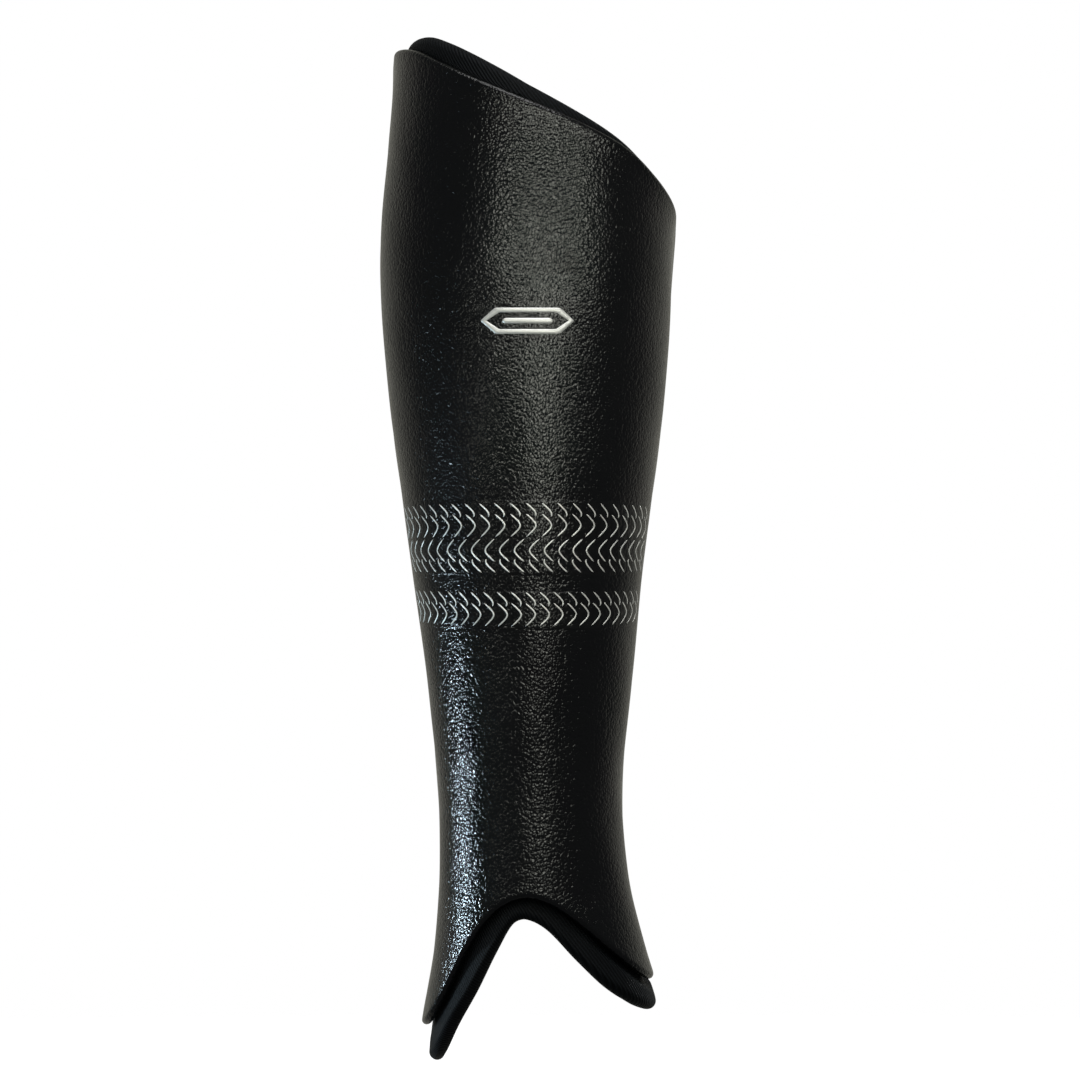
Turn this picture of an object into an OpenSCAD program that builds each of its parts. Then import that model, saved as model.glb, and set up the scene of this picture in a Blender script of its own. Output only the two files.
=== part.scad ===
// Field hockey shin guard: a moulded outer shell and a padded liner that lifts out of it.
//
// +Z runs up the leg, -Y is the front of the shin and +Y is the open back.
// The origin is on the leg's axis, half way up the guard.
// Every layer is one skin of the same surface. A place on it is a wrap angle and a height:
// the wrap angle is 0 on the crest of the shin and 90 at the widest point of each side, and
// from 90 on it measures the straight side wall, which ends at WALL_END.
// Depth is how far under the outer surface a layer lies.

/* [Guard] */
// Overall height, from the liner's lowest tip to its highest point
guard_height = 370; // [330:5:400]
// Width across the calf, outside the shell
calf_width = 107; // [98:1:116]
// Length that each side wall runs back past the widest point, at the calf
side_wall = 24; // [18:1:28]
// How far the top lip of the shell flares out
lip_flare = 1.6; // [0:0.2:2.4]

/* [Shell] */
// Thickness of the grained outer skin
skin_t = 0.7; // [0.5:0.1:1]
// Thickness of the moulded hard plate
plate_t = 2; // [1.6:0.1:2.6]
// Radius of the shell's rear corners
shell_corner = 12; // [8:1:14]

/* [Hook tape] */
// Thickness of a hook patch
hook_t = 1.2; // [0.8:0.1:1.6]
// Width of a hook patch, round the leg
hook_w = 20; // [16:1:24]
// Height of a hook patch
hook_h = 44; // [30:1:50]

/* [Liner] */
// Thickness of the foam pads
foam_t = 4; // [3:0.5:6]
// Thickness of each of the liner's two fabrics
fabric_t = 0.6; // [0.4:0.1:0.8]
// Width of the sewn channels between the pads
channel = 3; // [2:0.5:4]
// Radius of the liner's rear corners
liner_corner = 15; // [10:1:16]
// Diameter of the sewing thread
thread_d = 0.8; // [0.5:0.1:1]

/* [Prints] */
// Thickness of the transfer films on the skin
film_t = 0.15; // [0.1:0.05:0.3]
// Height of the upper tread band
upper_band = 27; // [20:1:30]
// Height of the lower tread band
lower_band = 13.5; // [10:0.5:16]
// Width of the emblem
emblem_w = 34; // [24:1:40]
// Height of the emblem
emblem_h = 9.5; // [6:0.5:12]

/* [Hidden] */

glue = 0.05;          // gap left for the adhesive under the skin
hook_gap = 0.25;      // the same behind the hook patches
foam_gap = 0.15;      // and on both sides of the foam
thread_gap = 0.25;    // between a thread and the liner's face
liner_gap = 0.3;      // running gap between the hooks and the liner's back
WALL_END = 120;       // wrap angle at the shell's rear edges
LINER_END = 125;      // wrap angle at the liner's rear edges
CHANNEL_AT = 36;      // wrap angle of the sewn channels
BAND_END = 84;        // wrap angle at which the tread bands stop
UNITS_PER_MM = 1.25;  // wrap angle that 1 mm of side wall takes
lip_reach = 7;        // height over which the lip's flare fades
UPPER_BAND_AT = 17;   // height of the upper tread band's top edge, on a guard 370 high
LOWER_BAND_AT = -16;  // the same for the lower band
EMBLEM_AT = 81.5;     // height of the emblem's middle
PATCH_AT = 63;        // wrap angle of the hook patches
THREAD_SIDES = 6;
PAD_COLUMNS = 9;
LINER_ROWS = 22;
SHELL_COLUMNS = 32;
SHELL_ROWS = 26;

// Depths of the layers under the outer surface
plate_at = skin_t + glue;
hook_at = plate_at + plate_t + hook_gap;
back_at = hook_at + hook_t + liner_gap;
foam_at = back_at + fabric_t + foam_gap;
face_at = foam_at + foam_t + foam_gap;
leg_at = face_at + fabric_t;
thread_at = leg_at + thread_d / 2 + thread_gap;

filling_inset = -fabric_t - 3 * foam_gap;                // edge of the foam and the face fabric
half_channel = channel / 2 * UNITS_PER_MM;
seam_inset = -2;                                         // the seam runs 2 mm inside the edge

// Sections up the leg, for a guard 370 high and 107 wide:
// height, left half width, right half width, distance of the crest in front of the axis, side wall
tall = guard_height / 370;
wide = calf_width / 107;
back = side_wall / 24;
sections = [for (s = [
    [-190, 40.0, 53.0, 50.0, 12],
    [-170, 38.3, 50.0, 48.5, 13],
    [-145, 34.0, 42.6, 45.5, 14],
    [-118, 31.9, 36.3, 42.2, 15],
    [ -88, 32.6, 34.2, 40.7, 16],
    [ -50, 36.3, 37.4, 42.0, 18],
    [   0, 43.0, 42.6, 46.0, 20],
    [  50, 49.9, 49.0, 50.0, 22],
    [ 100, 53.5, 52.2, 52.4, 24],
    [ 145, 50.8, 52.4, 51.0, 23],
    [ 190, 45.8, 52.4, 48.0, 21]
]) [s[0] * tall, s[1] * wide, s[2] * wide, s[3] * wide, s[4] * back]];
LEFT = 1;
RIGHT = 2;
CREST = 3;
WALL = 4;

// Edges of the shell and of the liner round the leg: wrap angle, height
shell_top = lift([
    [-130, 166], [-105, 176], [-90, 179], [-72, 180], [-58, 179], [-45, 175.8], [-30, 171.2],
    [0, 161], [30, 149.2], [45, 142.5], [60, 134], [75, 126.5], [90, 120.5], [105, 115], [130, 102]
]);
shell_bottom = lift([
    [-130, -164], [-105, -171], [-90, -172.5], [-75, -170.5], [-60, -162.3], [-45, -147], [-30, -135],
    [-15, -128.2], [0, -126], [15, -129], [30, -136], [45, -144.3], [60, -150.8], [75, -154.5],
    [90, -155.5], [105, -154.5], [130, -149]
]);
liner_top = lift([
    [-130, 158], [-105, 172], [-90, 179], [-77, 183.5], [-60, 185], [-45, 182.8], [-30, 178.8],
    [-15, 173.5], [0, 167.2], [30, 153.8], [45, 146.8], [60, 139], [75, 131], [90, 124], [105, 118],
    [130, 106]
]);
liner_bottom = lift([
    [-130, -178], [-105, -184], [-90, -185], [-75, -182.5], [-60, -174], [-45, -162], [-30, -147.5],
    [-15, -135.8], [-5, -133], [5, -134.2], [15, -138.4], [30, -148.5], [45, -158], [60, -163.5],
    [75, -165.5], [90, -165.5], [105, -164.5], [130, -158]
]);

function lift(knots) = [for (k = knots) [k[0], k[1] * tall]];

// Smooth curve through knots, each [place, value, value...]
function knot_before(k, x, i = 0) = i >= len(k) - 2 || x < k[i + 1][0] ? i : knot_before(k, x, i + 1);
function knot_slope(k, i, c) =
    let (a = max(i - 1, 0), b = min(i + 1, len(k) - 1))
    (k[b][c] - k[a][c]) / (k[b][0] - k[a][0]);
function curve(k, x, c = 1) =
    let (
        i = knot_before(k, x),
        span = k[i + 1][0] - k[i][0],
        t = (x - k[i][0]) / span,
        t2 = t * t,
        t3 = t2 * t
    )
    (2 * t3 - 3 * t2 + 1) * k[i][c] + (t3 - 2 * t2 + t) * span * knot_slope(k, i, c)
    + (3 * t2 - 2 * t3) * k[i + 1][c] + (t3 - t2) * span * knot_slope(k, i + 1, c);

// Point of the outer surface at a wrap angle and a height
function surface_point(w, z) =
    let (
        side = w < 0 ? -1 : 1,
        turn = min(abs(w), 90),
        run = max(abs(w) - 90, 0) / (WALL_END - 90),
        lip = lip_flare * exp(-max(0, curve(shell_top, w) - z) / lip_reach),
        left = curve(sections, z, LEFT),
        right = curve(sections, z, RIGHT),
        crest = curve(sections, z, CREST),
        depth = (left + right) / 2
    )
    [
        side * ((w < 0 ? left : right) + lip) * sin(turn),
        depth - crest - (depth + lip) * cos(turn) + curve(sections, z, WALL) * run,
        z
    ];

// Point of a layer at that depth, measured square to the outer surface
function layer_point(w, z, depth) =
    let (
        e = 0.5,
        across = surface_point(w + e, z) - surface_point(w - e, z),
        up = surface_point(w, z + e) - surface_point(w, z - e),
        out = cross(across, up)
    )
    surface_point(w, z) - depth * out / norm(out);

// Rounding of a rear corner: how far an edge has turned in at a wrap angle
function corner_drop(w, end, radius) =
    let (c = max(0, (abs(w) - end) / (radius * UNITS_PER_MM) + 1))
    radius * (1 - sqrt(max(0, 1 - c * c)));

// Outline of the shell and of the liner, grown by m: lowest and highest point at a wrap angle
function shell_low(w, m = 0) =
    curve(shell_bottom, w) - m + corner_drop(w, WALL_END + m * UNITS_PER_MM, shell_corner + m);
function shell_high(w, m = 0) =
    curve(shell_top, w) + m - corner_drop(w, WALL_END + m * UNITS_PER_MM, shell_corner + m);
function liner_low(w, m = 0) =
    curve(liner_bottom, w) - m + corner_drop(w, LINER_END + m * UNITS_PER_MM, liner_corner + m);
function liner_high(w, m = 0) =
    curve(liner_top, w) + m - corner_drop(w, LINER_END + m * UNITS_PER_MM, liner_corner + m);

// Wrap angles of a layer's columns: close together at rounded rear corners, even elsewhere.
// The liner's layers share their columns, so that their facets stay parallel.
function shell_columns(m) = [
    for (i = [0 : SHELL_COLUMNS])
        let (p = 2 * i / SHELL_COLUMNS - 1)
        (WALL_END + m * UNITS_PER_MM) * (0.6 * sin(90 * p) + 0.4 * p)
];
function right_end(from, to, n) =
    [for (i = [0 : n]) let (p = i / n) from + (to - from) * (0.7 * sin(90 * p) + 0.3 * p)];
function even(from, to, n) = [for (i = [0 : n]) from + (to - from) * i / n];
function pad_right(m) =
    right_end(CHANNEL_AT + half_channel, LINER_END + m * UNITS_PER_MM, PAD_COLUMNS);
function pad_left(m) = reversed([for (w = pad_right(m)) -w]);
function pad_centre() = even(-CHANNEL_AT + half_channel, CHANNEL_AT - half_channel, PAD_COLUMNS);
function liner_columns(m) = concat(pad_left(m), pad_centre(), pad_right(m));
function reversed(v) = [for (i = [len(v) - 1 : -1 : 0]) v[i]];

// Grid of points, column by column, and the loop of points round its edge
function grid(ws, low, high, rows, depth) = [
    for (w = ws, j = [0 : rows])
        let (a = low(w), b = high(w)) layer_point(w, a + (b - a) * j / rows, depth)
];
function edge_loop(cols, rows) = concat(
    [for (i = [0 : cols - 1]) i * (rows + 1)],
    [for (j = [0 : rows - 1]) cols * (rows + 1) + j],
    [for (i = [cols : -1 : 1]) i * (rows + 1) + rows],
    [for (j = [rows : -1 : 1]) j]
);

function strip(a, b) = [
    for (i = [0 : len(a) - 1])
        let (n = (i + 1) % len(a))
        each [[a[i], a[n], b[n]], [a[i], b[n], b[i]]]
];
function cells(cols, rows, start, flip) = [
    for (i = [0 : cols - 1], j = [0 : rows - 1])
        let (
            p = start + i * (rows + 1) + j,
            q = p + rows + 1,
            f = [[p, p + 1, q + 1], [p, q + 1, q]]
        )
        each (flip ? [for (t = f) [t[2], t[1], t[0]]] : f)
];

// Closed solid between an outer and an inner grid; rings are loops of points between their edges
module layer(outer, inner, cols, rows, rings = []) {
    n = len(outer);
    edge = edge_loop(cols, rows);
    loops = concat(
        [edge],
        [for (r = [0 : 1 : len(rings) - 1]) [for (i = [0 : len(edge) - 1]) 2 * n + r * len(edge) + i]],
        [[for (e = edge) n + e]]
    );
    polyhedron(
        points = concat(outer, inner, [for (r = rings) each r]),
        faces = concat(
            cells(cols, rows, 0, false),
            cells(cols, rows, n, true),
            [for (r = [0 : len(loops) - 2]) each strip(loops[r], loops[r + 1])]
        ),
        convexity = 6
    );
}

module curved_sheet(ws, low, high, rows, from, to) {
    layer(
        grid(ws, low, high, rows, from),
        grid(ws, low, high, rows, to),
        len(ws) - 1, rows
    );
}

// Sheet that is turned over the edge of the layers under it, down to a depth
module turned_sheet(columns, low, high, rows, from, thickness, to) {
    cols = len(columns(0)) - 1;
    outline = function(m, depth) grid(
        columns(m), function(w) low(w, m), function(w) high(w, m), rows, depth
    );
    loop = function(m, depth) let (g = outline(m, depth)) [for (e = edge_loop(cols, rows)) g[e]];
    layer(
        outline(0, from), outline(-thickness, from + thickness), cols, rows,
        [loop(0, to), loop(-thickness, to)]
    );
}

// Tube along a path, closed on itself or with flat ends
module thread(path, closed) {
    n = len(path);
    turns = [for (k = [0 : THREAD_SIDES - 1]) 360 * k / THREAD_SIDES];
    points = [
        for (i = [0 : n - 1])
            let (
                ahead = path[closed ? (i + 1) % n : min(i + 1, n - 1)],
                behind = path[closed ? (i + n - 1) % n : max(i - 1, 0)],
                along = (ahead - behind) / norm(ahead - behind),
                out = cross(along, [path[i][0], path[i][1], 0]),
                u = out / norm(out),
                v = cross(along, u)
            )
            each [for (t = turns) path[i] + thread_d / 2 * (cos(t) * u + sin(t) * v)]
    ];
    ring = function(i) [for (k = [0 : THREAD_SIDES - 1]) (i % n) * THREAD_SIDES + k];
    polyhedron(
        points = points,
        faces = concat(
            [for (i = [0 : n - (closed ? 1 : 2)]) each strip(ring(i + 1), ring(i))],
            closed ? [] : [ring(0), reversed(ring(n - 1))]
        ),
        convexity = 6
    );
}

// Grained skin, turned over the edge of the plate
module outer_skin() {
    color([0.09, 0.09, 0.1])
        turned_sheet(
            function(m) shell_columns(m), function(w, m) shell_low(w, m),
            function(w, m) shell_high(w, m), SHELL_ROWS, 0, skin_t, plate_at + plate_t
        );
}

module hard_plate() {
    inset = -skin_t - 3 * glue;
    color([0.14, 0.14, 0.15])
        curved_sheet(
            shell_columns(inset), function(w) shell_low(w, inset),
            function(w) shell_high(w, inset), SHELL_ROWS, plate_at, plate_at + plate_t
        );
}

// Transfer film on the skin
module film(ws, low, high, rows) {
    top = -2 * glue - film_t;
    curved_sheet(ws, low, high, rows, top, top + film_t);
}

module tread_band(at, height) {
    top = at * tall;
    color([0.2, 0.2, 0.21])
        film(even(-BAND_END, BAND_END, 26), function(w) top - height, function(w) top, 3);
}

module upper_band_print() {
    tread_band(UPPER_BAND_AT, upper_band);
}

module lower_band_print() {
    tread_band(LOWER_BAND_AT, lower_band);
}

// Long hexagon on the crest of the shin
module emblem_print() {
    middle = EMBLEM_AT * tall;
    end = asin(emblem_w / calf_width);
    taper = 5;
    tip = 0.1;
    half = function(w) emblem_h / 2 * min(1, tip + (end - abs(w)) / taper);
    color([0.85, 0.85, 0.84])
        film(even(-end, end, 16), function(w) middle - half(w), function(w) middle + half(w), 2);
}

// Patch of hook tape inside the plate, on one side and at a height
module hook_patch(side, at) {
    middle = at * tall;
    quarter = PI / 2 * curve(sections, middle, RIGHT);
    half = hook_w / 2 * 90 / quarter;
    color([0.05, 0.05, 0.05])
        curved_sheet(
            even(side * PATCH_AT - half, side * PATCH_AT + half, 5),
            function(w) middle - hook_h / 2, function(w) middle + hook_h / 2,
            5, hook_at, hook_at + hook_t
        );
}

module hook_patch_upper_left() {
    hook_patch(-1, 118);
}

module hook_patch_upper_right() {
    hook_patch(1, 82);
}

module hook_patch_middle_left() {
    hook_patch(-1, 0);
}

module hook_patch_middle_right() {
    hook_patch(1, 0);
}

module hook_patch_lower_left() {
    hook_patch(-1, -104);
}

module hook_patch_lower_right() {
    hook_patch(1, -98);
}

// Back fabric of the liner, turned over the edge of the foam
module liner_back_fabric() {
    color([0.07, 0.07, 0.08])
        turned_sheet(
            function(m) liner_columns(m), function(w, m) liner_low(w, m),
            function(w, m) liner_high(w, m), LINER_ROWS, back_at, fabric_t, leg_at
        );
}

// Sheet inside the turned back fabric
module filling(ws, from, thickness) {
    curved_sheet(
        ws, function(w) liner_low(w, filling_inset), function(w) liner_high(w, filling_inset),
        LINER_ROWS, from, from + thickness
    );
}

module liner_face_fabric() {
    color([0.06, 0.06, 0.06]) filling(liner_columns(filling_inset), face_at, fabric_t);
}

module foam_pad_centre() {
    color([0.25, 0.25, 0.27]) filling(pad_centre(), foam_at, foam_t);
}

module foam_pad_left() {
    color([0.25, 0.25, 0.27]) filling(pad_left(filling_inset), foam_at, foam_t);
}

module foam_pad_right() {
    color([0.25, 0.25, 0.27]) filling(pad_right(filling_inset), foam_at, foam_t);
}

module liner_seam_thread() {
    ws = liner_columns(seam_inset);
    g = grid(
        ws, function(w) liner_low(w, seam_inset), function(w) liner_high(w, seam_inset),
        LINER_ROWS, thread_at
    );
    color([0.1, 0.1, 0.1])
        thread([for (e = edge_loop(len(ws) - 1, LINER_ROWS)) g[e]], true);
}

module channel_thread(w) {
    inset = seam_inset - 2 * thread_d;
    low = liner_low(w, inset);
    step = (liner_high(w, inset) - low) / LINER_ROWS;
    color([0.1, 0.1, 0.1])
        thread([for (j = [0 : LINER_ROWS]) layer_point(w, low + step * j, thread_at)], false);
}

module channel_thread_left() {
    channel_thread(-CHANNEL_AT);
}

module channel_thread_right() {
    channel_thread(CHANNEL_AT);
}

outer_skin();
hard_plate();
emblem_print();
upper_band_print();
lower_band_print();
hook_patch_upper_left();
hook_patch_upper_right();
hook_patch_middle_left();
hook_patch_middle_right();
hook_patch_lower_left();
hook_patch_lower_right();
liner_back_fabric();
liner_face_fabric();
foam_pad_centre();
foam_pad_left();
foam_pad_right();
liner_seam_thread();
channel_thread_left();
channel_thread_right();
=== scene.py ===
import math

import bpy
import numpy as np
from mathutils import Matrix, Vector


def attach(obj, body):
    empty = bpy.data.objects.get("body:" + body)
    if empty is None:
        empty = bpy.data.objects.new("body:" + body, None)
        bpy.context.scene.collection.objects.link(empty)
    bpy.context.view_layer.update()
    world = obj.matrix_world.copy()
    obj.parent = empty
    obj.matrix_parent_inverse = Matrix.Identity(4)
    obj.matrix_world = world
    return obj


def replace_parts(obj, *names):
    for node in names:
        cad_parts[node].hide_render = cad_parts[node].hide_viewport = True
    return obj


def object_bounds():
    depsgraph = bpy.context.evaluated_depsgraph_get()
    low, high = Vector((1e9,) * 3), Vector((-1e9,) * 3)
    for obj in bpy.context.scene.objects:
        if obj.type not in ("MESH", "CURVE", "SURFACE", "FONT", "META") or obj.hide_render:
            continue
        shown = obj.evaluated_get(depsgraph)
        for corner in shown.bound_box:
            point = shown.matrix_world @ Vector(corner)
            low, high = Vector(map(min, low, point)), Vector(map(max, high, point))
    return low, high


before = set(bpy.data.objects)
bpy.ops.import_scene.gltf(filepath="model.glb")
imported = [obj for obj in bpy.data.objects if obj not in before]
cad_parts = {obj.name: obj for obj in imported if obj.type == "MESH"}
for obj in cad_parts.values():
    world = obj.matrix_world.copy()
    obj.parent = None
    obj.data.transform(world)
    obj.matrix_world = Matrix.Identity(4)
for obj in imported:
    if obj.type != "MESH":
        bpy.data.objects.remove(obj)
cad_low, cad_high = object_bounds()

MM = 0.001

# ---------------------------------------------------------------------------
# The guard's surface, in millimetres and degrees, as the CAD source has it.
# A place is a wrap angle w (0 on the crest of the shin, 90 at the widest point
# of each side, and on along the straight side wall), a height z and a depth
# under the outer surface.

# Height of the guard against the height that the numbers below are for
TALL = (cad_high.z - cad_low.z) / MM / 370
# Wrap angle where the side wall ends
WALL_END = 120
# How far the upper edge turns outwards, and how far down that reaches
LIP_FLARE = 1.6
LIP_REACH = 7
# Degrees of wrap taken as one millimetre where an outline is grown
UNITS_PER_MM = 1.25
# Wrap angle of the liner's sewn channels
CHANNEL_AT = 36
# Wrap angle where the printed bands end
BAND_END = 84
# Wrap angle of the hook patches
PATCH_AT = 63

# Columns of SECTIONS: height, left half width, right half width, crest in front of the axis, side wall
LEFT, RIGHT, CREST, WALL = 1, 2, 3, 4
SECTIONS = np.array([
    (-190, 40.0, 53.0, 50.0, 12), (-170, 38.3, 50.0, 48.5, 13), (-145, 34.0, 42.6, 45.5, 14),
    (-118, 31.9, 36.3, 42.2, 15), (-88, 32.6, 34.2, 40.7, 16), (-50, 36.3, 37.4, 42.0, 18),
    (0, 43.0, 42.6, 46.0, 20), (50, 49.9, 49.0, 50.0, 22), (100, 53.5, 52.2, 52.4, 24),
    (145, 50.8, 52.4, 51.0, 23), (190, 45.8, 52.4, 48.0, 21),
]) * (TALL, 1, 1, 1, 1)


def edge(*knots):
    """An edge of a layer round the leg: wrap angle, height."""
    return np.array(knots, float) * (1, TALL)


SHELL_TOP = edge(
    (-130, 166), (-105, 176), (-90, 179), (-72, 180), (-58, 179), (-45, 175.8), (-30, 171.2),
    (0, 161), (30, 149.2), (45, 142.5), (60, 134), (75, 126.5), (90, 120.5), (105, 115), (130, 102),
)
SHELL_BOTTOM = edge(
    (-130, -164), (-105, -171), (-90, -172.5), (-75, -170.5), (-60, -162.3), (-45, -147), (-30, -135),
    (-15, -128.2), (0, -126), (15, -129), (30, -136), (45, -144.3), (60, -150.8), (75, -154.5),
    (90, -155.5), (105, -154.5), (130, -149),
)
LINER_TOP = edge(
    (-130, 158), (-105, 172), (-90, 179), (-77, 183.5), (-60, 185), (-45, 182.8), (-30, 178.8),
    (-15, 173.5), (0, 167.2), (30, 153.8), (45, 146.8), (60, 139), (75, 131), (90, 124), (105, 118),
    (130, 106),
)
LINER_BOTTOM = edge(
    (-130, -178), (-105, -184), (-90, -185), (-75, -182.5), (-60, -174), (-45, -162), (-30, -147.5),
    (-15, -135.8), (-5, -133), (5, -134.2), (15, -138.4), (30, -148.5), (45, -158), (60, -163.5),
    (75, -165.5), (90, -165.5), (105, -164.5), (130, -158),
)

# Thicknesses of the skin, the glue under it and the liner's fabrics, and depths of the layers
SKIN = 0.7
GLUE = 0.05
PLATE = (0.75, 2.75)
HOOK_BASE = 3.0
LINER_BACK = 4.5
FABRIC = 0.6
FOAM = (5.25, 8.8)
FACE = 9.5
HEM = 10.2


def curve(knots, x, column=1):
    """Smooth curve through knots, each (place, value, value...)."""
    x = np.asarray(x, float)
    at, value = knots[:, 0], knots[:, column]
    ahead = np.minimum(np.arange(len(at)) + 1, len(at) - 1)
    behind = np.maximum(np.arange(len(at)) - 1, 0)
    slope = (value[ahead] - value[behind]) / (at[ahead] - at[behind])
    i = np.clip(np.searchsorted(at, x, side="right") - 1, 0, len(at) - 2)
    span = at[i + 1] - at[i]
    t = (x - at[i]) / span
    t2, t3 = t * t, t * t * t
    return (
        (2 * t3 - 3 * t2 + 1) * value[i] + (t3 - 2 * t2 + t) * span * slope[i]
        + (3 * t2 - 2 * t3) * value[i + 1] + (t3 - t2) * span * slope[i + 1]
    )


def surface(w, z):
    """Points of the outer surface, in millimetres."""
    turn = np.radians(np.minimum(np.abs(w), 90))
    run = np.maximum(np.abs(w) - 90, 0) / (WALL_END - 90)
    lip = LIP_FLARE * np.exp(-np.maximum(0, curve(SHELL_TOP, w) - z) / LIP_REACH)
    left, right, crest, wall = (curve(SECTIONS, z, c) for c in (LEFT, RIGHT, CREST, WALL))
    depth = (left + right) / 2
    x = np.sign(w) * (np.where(w < 0, left, right) + lip) * np.sin(turn)
    y = depth - crest - (depth + lip) * np.cos(turn) + wall * run
    return np.stack([x, y, z + 0 * x], -1)


def unevenness(w, z):
    """How far the moulding stands off its true form: slight, slow waves."""
    long = 0.10 * np.sin(z / 17 + w / 23)
    middling = 0.08 * np.sin(z / 9.5 - w / 13 + 1)
    return long + middling + 0.05 * np.sin(z / 6 + w / 7)


def place(w, z, depth):
    """Points of a layer, in metres."""
    w, z, depth = np.broadcast_arrays(np.asarray(w, float), np.asarray(z, float), np.asarray(depth, float))
    step = 0.5
    across = surface(w + step, z) - surface(w - step, z)
    up = surface(w, z + step) - surface(w, z - step)
    out = np.cross(across, up)
    out /= np.linalg.norm(out, axis=-1, keepdims=True)
    return (surface(w, z) - (depth - unevenness(w, z))[..., None] * out) * MM


def arc_mm(w, z):
    """Distance round the leg from the crest, in millimetres."""
    quarter = math.pi / 2 * (curve(SECTIONS, z, LEFT) + curve(SECTIONS, z, RIGHT)) / 2
    wall = curve(SECTIONS, z, WALL)
    run = np.maximum(np.abs(w) - 90, 0) / (WALL_END - 90)
    return np.sign(w) * (np.minimum(np.abs(w), 90) / 90 * quarter + run * wall)


class Outline:
    """The outline of the shell or the liner. m grows it, in millimetres."""

    def __init__(self, top, bottom, end, corner):
        self.top, self.bottom, self.end, self.corner = top, bottom, end, corner

    def drop(self, w, m):
        radius = self.corner + m
        end = self.end + m * UNITS_PER_MM
        c = np.clip((np.abs(w) - end) / (radius * UNITS_PER_MM) + 1, 0, 1)
        return radius * (1 - np.sqrt(1 - c * c))

    def low(self, w, m):
        return curve(self.bottom, w) - m + self.drop(w, m)

    def high(self, w, m):
        return curve(self.top, w) + m - self.drop(w, m)

    def columns(self, m, n):
        """Wrap angles, close together at the rounded rear corners."""
        p = np.linspace(-1, 1, n + 1)
        return (self.end + m * UNITS_PER_MM) * (0.6 * np.sin(np.pi / 2 * p) + 0.4 * p)


SHELL = Outline(SHELL_TOP, SHELL_BOTTOM, WALL_END, 12)
LINER = Outline(LINER_TOP, LINER_BOTTOM, 125, 15)

# ---------------------------------------------------------------------------
# Mesh building


def make_piece(name, body, verts, faces, material, uv=None):
    """A smooth mesh piece that rides on a body. verts are in metres, uv is per vertex, in millimetres."""
    mesh = bpy.data.meshes.new(name)
    mesh.from_pydata(np.asarray(verts).tolist(), [], faces)
    mesh.polygons.foreach_set("use_smooth", np.ones(len(mesh.polygons), bool))
    if uv is not None:
        layer = mesh.uv_layers.new(name="mm")
        loops = np.zeros(len(mesh.loops), np.int32)
        mesh.loops.foreach_get("vertex_index", loops)
        layer.data.foreach_set("uv", np.asarray(uv, np.float32)[loops].ravel())
    mesh.materials.append(material)
    mesh.update()
    piece = bpy.data.objects.new(name, mesh)
    bpy.context.scene.collection.objects.link(piece)
    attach(piece, body)
    return piece


def grid_cells(cols, rows, start, flip):
    """Faces of a grid whose first vertex is start, turned over if flip."""
    i, j = np.meshgrid(np.arange(cols), np.arange(rows), indexing="ij")
    a = start + i * (rows + 1) + j
    quads = np.stack([a, a + rows + 1, a + rows + 2, a + 1], -1).reshape(-1, 4)
    return (quads[:, ::-1] if flip else quads).tolist()


def rim_of(cols, rows):
    """Grid places round the edge of a grid, as (column, row) index arrays."""
    return (
        np.concatenate([np.arange(cols), np.full(rows, cols), np.arange(cols, 0, -1), np.zeros(rows, int)]),
        np.concatenate([np.zeros(cols, int), np.arange(rows), np.full(cols, rows), np.arange(rows, 0, -1)]),
    )


def rim_index(cols, rows):
    """The same places, as vertex numbers of the grid."""
    column, row = rim_of(cols, rows)
    return column * (rows + 1) + row


def wall_cells(a, b, flip=False):
    """Faces between two closed loops of as many vertices, turned over if flip."""
    quads = np.stack([a, b, np.roll(b, -1), np.roll(a, -1)], -1)
    return (quads[:, [0, 3, 2, 1]] if flip else quads).tolist()


def folded_sheet(name, body, material, grid_at, section, cols, rows, rise=0, at=place):
    """A closed sheet. grid_at(m) gives the wrap angles and heights of a grid whose edge is grown by m.
    section lists (m, depth) from the outer grid, over the edge loops, to the inner grid.
    rise is added to the depth of both grids. at turns places into points."""
    verts, uvs = [], []
    rim = rim_of(cols, rows)
    last = len(section) - 1
    for k, (m, depth) in enumerate(section):
        w, z = grid_at(m)
        if k in (0, last):
            depth = depth + rise
        else:
            w, z = w[rim], z[rim]
        verts.append(at(w, z, depth).reshape(-1, 3))
        uvs.append(np.stack([arc_mm(w, z), z], -1).reshape(-1, 2))
    n = (cols + 1) * (rows + 1)
    inner = sum(len(v) for v in verts[:-1])
    loops = [rim_index(cols, rows)]
    loops += [n + k * len(rim[0]) + np.arange(len(rim[0])) for k in range(last - 1)]
    loops += [inner + loops[0]]
    faces = grid_cells(cols, rows, 0, False) + grid_cells(cols, rows, inner, True)
    for a, b in zip(loops[:-1], loops[1:]):
        faces += wall_cells(a, b)
    return make_piece(name, body, np.concatenate(verts), faces, material, np.concatenate(uvs))


def outline_grid(outline, cols, rows):
    """grid_at for folded_sheet, over a whole outline."""
    share = np.linspace(0, 1, rows + 1)

    def grid_at(m):
        w = outline.columns(m, cols)
        low, high = outline.low(w, m), outline.high(w, m)
        return np.repeat(w[:, None], rows + 1, 1), low[:, None] + (high - low)[:, None] * share

    return grid_at


def arc(centre_m, centre_depth, radius, start, end, steps):
    """Edge loops round a rolled edge: angle 0 points to the outer surface, 90 out past the edge."""
    turns = np.radians(np.linspace(start, end, steps))
    return [(centre_m + radius * math.sin(a), centre_depth - radius * math.cos(a)) for a in turns]


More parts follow.
